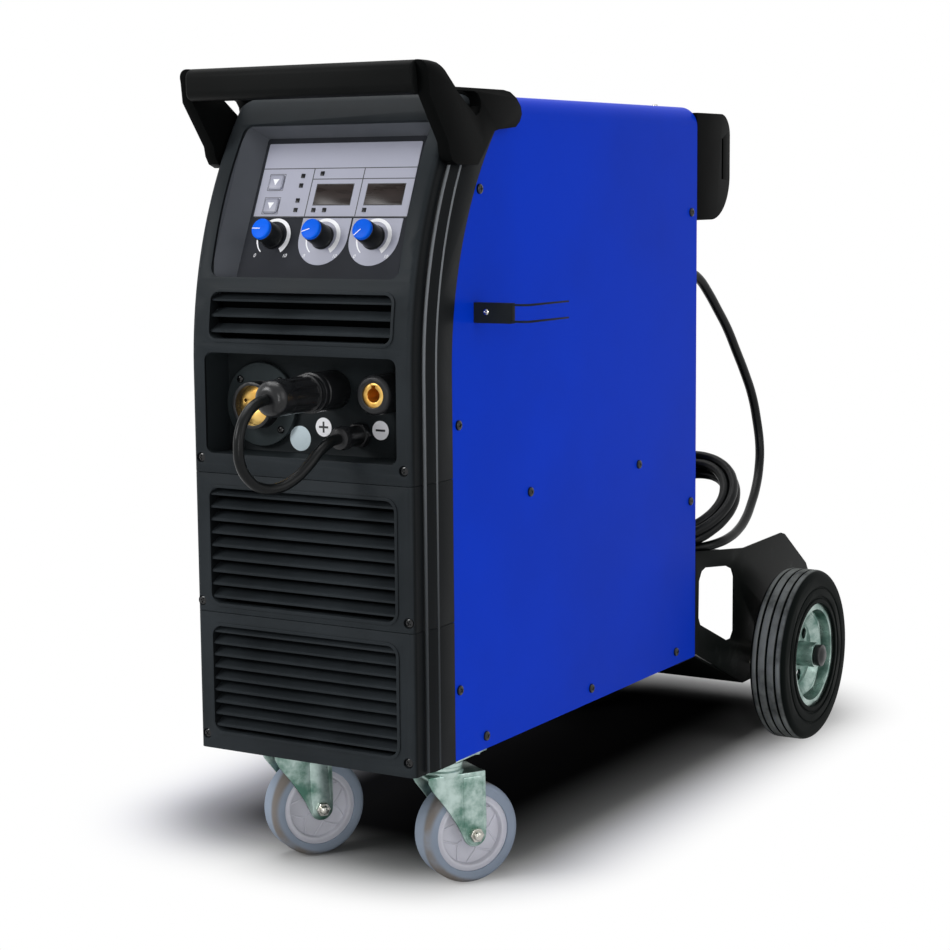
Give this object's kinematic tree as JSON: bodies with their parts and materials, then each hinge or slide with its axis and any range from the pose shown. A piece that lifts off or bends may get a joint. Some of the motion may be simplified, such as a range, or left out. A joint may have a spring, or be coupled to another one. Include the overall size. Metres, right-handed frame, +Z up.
{
  "type": "mig welder on cart",
  "caption": "Upright wire-feed welding machine in a blue sheet steel case with a black moulded front, swivel casters, large rear wheels and a gas cylinder deck.",
  "frame": {"origin": "on the floor, under the middle of the machine's box without its cords", "axes": "+Z up, +Y from the control panel back to the cylinder deck, +X to the right of someone facing the control panel"},
  "size_m": [0.412, 1.055, 0.782],
  "materials": {
    "case_paint": "semi-gloss blue enamel",
    "black_plastic": "fine-grained black moulding",
    "deck_paint": "black powder coat",
    "label": "lavender-grey printed film",
    "lens": "dark red tinted lens",
    "knob_blue": "bright blue insert",
    "knob_black": "black knob body",
    "brass": "machined brass",
    "cable_rubber": "smooth black cable sheath",
    "zinc": "zinc plated steel",
    "aluminium": "die cast aluminium",
    "motor_steel": "dark painted motor can",
    "red_plastic": "red moulded lever",
    "tyre_rubber": "black solid rubber",
    "caster_rubber": "grey-blue caster tread",
    "hub_plastic": "light grey moulded hub",
    "screw_steel": "bright screws"
  },
  "bodies": {
    "frame": {"front_panel_upper": "black_plastic", "front_panel_middle": "black_plastic", "front_panel_lower": "black_plastic", "socket_recess": "black_plastic", "control_panel": "black_plastic", "panel_overlay": "label", "display_lenses": "lens", "socket_bodies": "black_plastic", "socket_contacts": "brass", "polarity_plug": "black_plastic", "polarity_lead": "cable_rubber", "cable_glands": "black_plastic", "chassis": "zinc", "cover_panel": "case_paint", "left_panel": "case_paint", "rear_panel": "case_paint", "feed_base": "aluminium", "feed_motor": "motor_steel", "handle_bar": "black_plastic", "handle_brackets": "black_plastic", "cable_hook": "deck_paint", "cylinder_rest": "black_plastic", "cylinder_deck": "deck_paint", "rear_axle": "zinc", "axle_caps": "black_plastic", "caster_plates": "zinc", "fan_frame": "black_plastic", "gas_inlet": "brass", "mains_cable": "cable_rubber", "cable_coil": "cable_rubber", "mains_plug": "black_plastic", "case_screws": "screw_steel", "inverter_module": "aluminium"},
    "knob_left": {"knob_left": "knob_black", "knob_cap_left": "knob_blue"},
    "knob_middle": {"knob_middle": "knob_black", "knob_cap_middle": "knob_blue"},
    "knob_right": {"knob_right": "knob_black", "knob_cap_right": "knob_blue"},
    "button_upper": {"button_upper": "black_plastic"},
    "button_lower": {"button_lower": "black_plastic"},
    "access_door": {"access_door": "case_paint"},
    "door_latch": {"door_latch": "black_plastic"},
    "spool_hub": {"spool_hub": "black_plastic"},
    "drive_roll": {"drive_roll": "zinc"},
    "pressure_arm": {"pressure_arm": "black_plastic"},
    "pressure_roll": {"pressure_roll": "zinc"},
    "tension_lever": {"tension_lever": "red_plastic"},
    "fan_rotor": {"fan_rotor": "black_plastic"},
    "switch_knob": {"switch_knob": "black_plastic"},
    "caster_fork_left": {"caster_fork_left": "zinc"},
    "caster_wheel_left": {"caster_tyre_left": "caster_rubber", "caster_hub_left": "hub_plastic"},
    "rear_wheel_left": {"tyre_left": "tyre_rubber", "rim_left": "zinc"},
    "caster_fork_right": {"caster_fork_right": "zinc"},
    "caster_wheel_right": {"caster_tyre_right": "caster_rubber", "caster_hub_right": "hub_plastic"},
    "rear_wheel_right": {"tyre_right": "tyre_rubber", "rim_right": "zinc"}
  },
  "joints": [
    {"name": "knob_left_turn", "type": "hinge", "parent": "frame", "child": "knob_left", "pos_m": [-0.058, -0.43238, 0.6288], "axis": [0, 0.9171, -0.3987], "range_deg": [-45, 225]},
    {"name": "knob_middle_turn", "type": "hinge", "parent": "frame", "child": "knob_middle", "pos_m": [-0.001, -0.43238, 0.6288], "axis": [0, 0.9171, -0.3987], "range_deg": [-25, 245]},
    {"name": "knob_right_turn", "type": "hinge", "parent": "frame", "child": "knob_right", "pos_m": [0.056, -0.43238, 0.6288], "axis": [0, 0.9171, -0.3987], "range_deg": [0, 270]},
    {"name": "button_upper_press", "type": "slide", "parent": "frame", "child": "button_upper", "axis": [0, 0.9171, -0.3987], "range_m": [0, 0.001], "stiffness_N_per_m": 1500},
    {"name": "button_lower_press", "type": "slide", "parent": "frame", "child": "button_lower", "axis": [0, 0.9171, -0.3987], "range_m": [0, 0.001], "stiffness_N_per_m": 1500},
    {"name": "access_door_swing", "type": "hinge", "parent": "frame", "child": "access_door", "pos_m": [-0.13, 0.0886, 0.5], "axis": [0, 0, -1], "range_deg": [0, 110]},
    {"name": "door_latch_turn", "type": "hinge", "parent": "access_door", "child": "door_latch", "pos_m": [-0.13, -0.2784, 0.5], "axis": [-1, 0, 0], "range_deg": [0, 90]},
    {"name": "spool_hub_spin", "type": "hinge", "parent": "frame", "child": "spool_hub", "pos_m": [-0.06, -0.0734, 0.515], "axis": [-1, 0, 0], "continuous": true},
    {"name": "drive_roll_spin", "type": "hinge", "parent": "frame", "child": "drive_roll", "pos_m": [-0.067, -0.2834, 0.4505], "axis": [1, 0, 0], "continuous": true},
    {"name": "pressure_arm_lift", "type": "hinge", "parent": "frame", "child": "pressure_arm", "pos_m": [-0.067, -0.2404, 0.486], "axis": [-1, 0, 0], "range_deg": [0, 4]},
    {"name": "pressure_roll_spin", "type": "hinge", "parent": "pressure_arm", "child": "pressure_roll", "pos_m": [-0.067, -0.2834, 0.4815], "axis": [1, 0, 0], "continuous": true},
    {"name": "tension_lever_swing", "type": "hinge", "parent": "frame", "child": "tension_lever", "pos_m": [-0.08, -0.3244, 0.442], "axis": [1, 0, 0], "range_deg": [0, 32]},
    {"name": "fan_spin", "type": "hinge", "parent": "frame", "child": "fan_rotor", "pos_m": [0.052, 0.1116, 0.3], "axis": [0, 1, 0], "continuous": true},
    {"name": "mains_switch_turn", "type": "hinge", "parent": "frame", "child": "switch_knob", "pos_m": [-0.06, 0.1356, 0.59], "axis": [0, -1, 0], "range_deg": [0, 90]},
    {"name": "caster_left_swivel", "type": "hinge", "parent": "frame", "child": "caster_fork_left", "pos_m": [-0.09, -0.3694, 0.115], "axis": [0, 0, 1], "continuous": true},
    {"name": "caster_left_roll", "type": "hinge", "parent": "caster_fork_left", "child": "caster_wheel_left", "pos_m": [-0.07622, -0.34735, 0.05], "axis": [-0.848, 0.5299, 0], "continuous": true},
    {"name": "rear_wheel_left_roll", "type": "hinge", "parent": "frame", "child": "rear_wheel_left", "pos_m": [-0.1725, 0.3262, 0.103], "axis": [1, 0, 0], "continuous": true},
    {"name": "caster_right_swivel", "type": "hinge", "parent": "frame", "child": "caster_fork_right", "pos_m": [0.09, -0.3694, 0.115], "axis": [0, 0, 1], "continuous": true},
    {"name": "caster_right_roll", "type": "hinge", "parent": "caster_fork_right", "child": "caster_wheel_right", "pos_m": [0.10378, -0.34735, 0.05], "axis": [-0.848, 0.5299, 0], "continuous": true},
    {"name": "rear_wheel_right_roll", "type": "hinge", "parent": "frame", "child": "rear_wheel_right", "pos_m": [0.1725, 0.3262, 0.103], "axis": [1, 0, 0], "continuous": true}
  ],
  "couplings": [
    {"joint": "pressure_roll_spin", "follows": "drive_roll_spin", "ratio": -1}
  ]
}
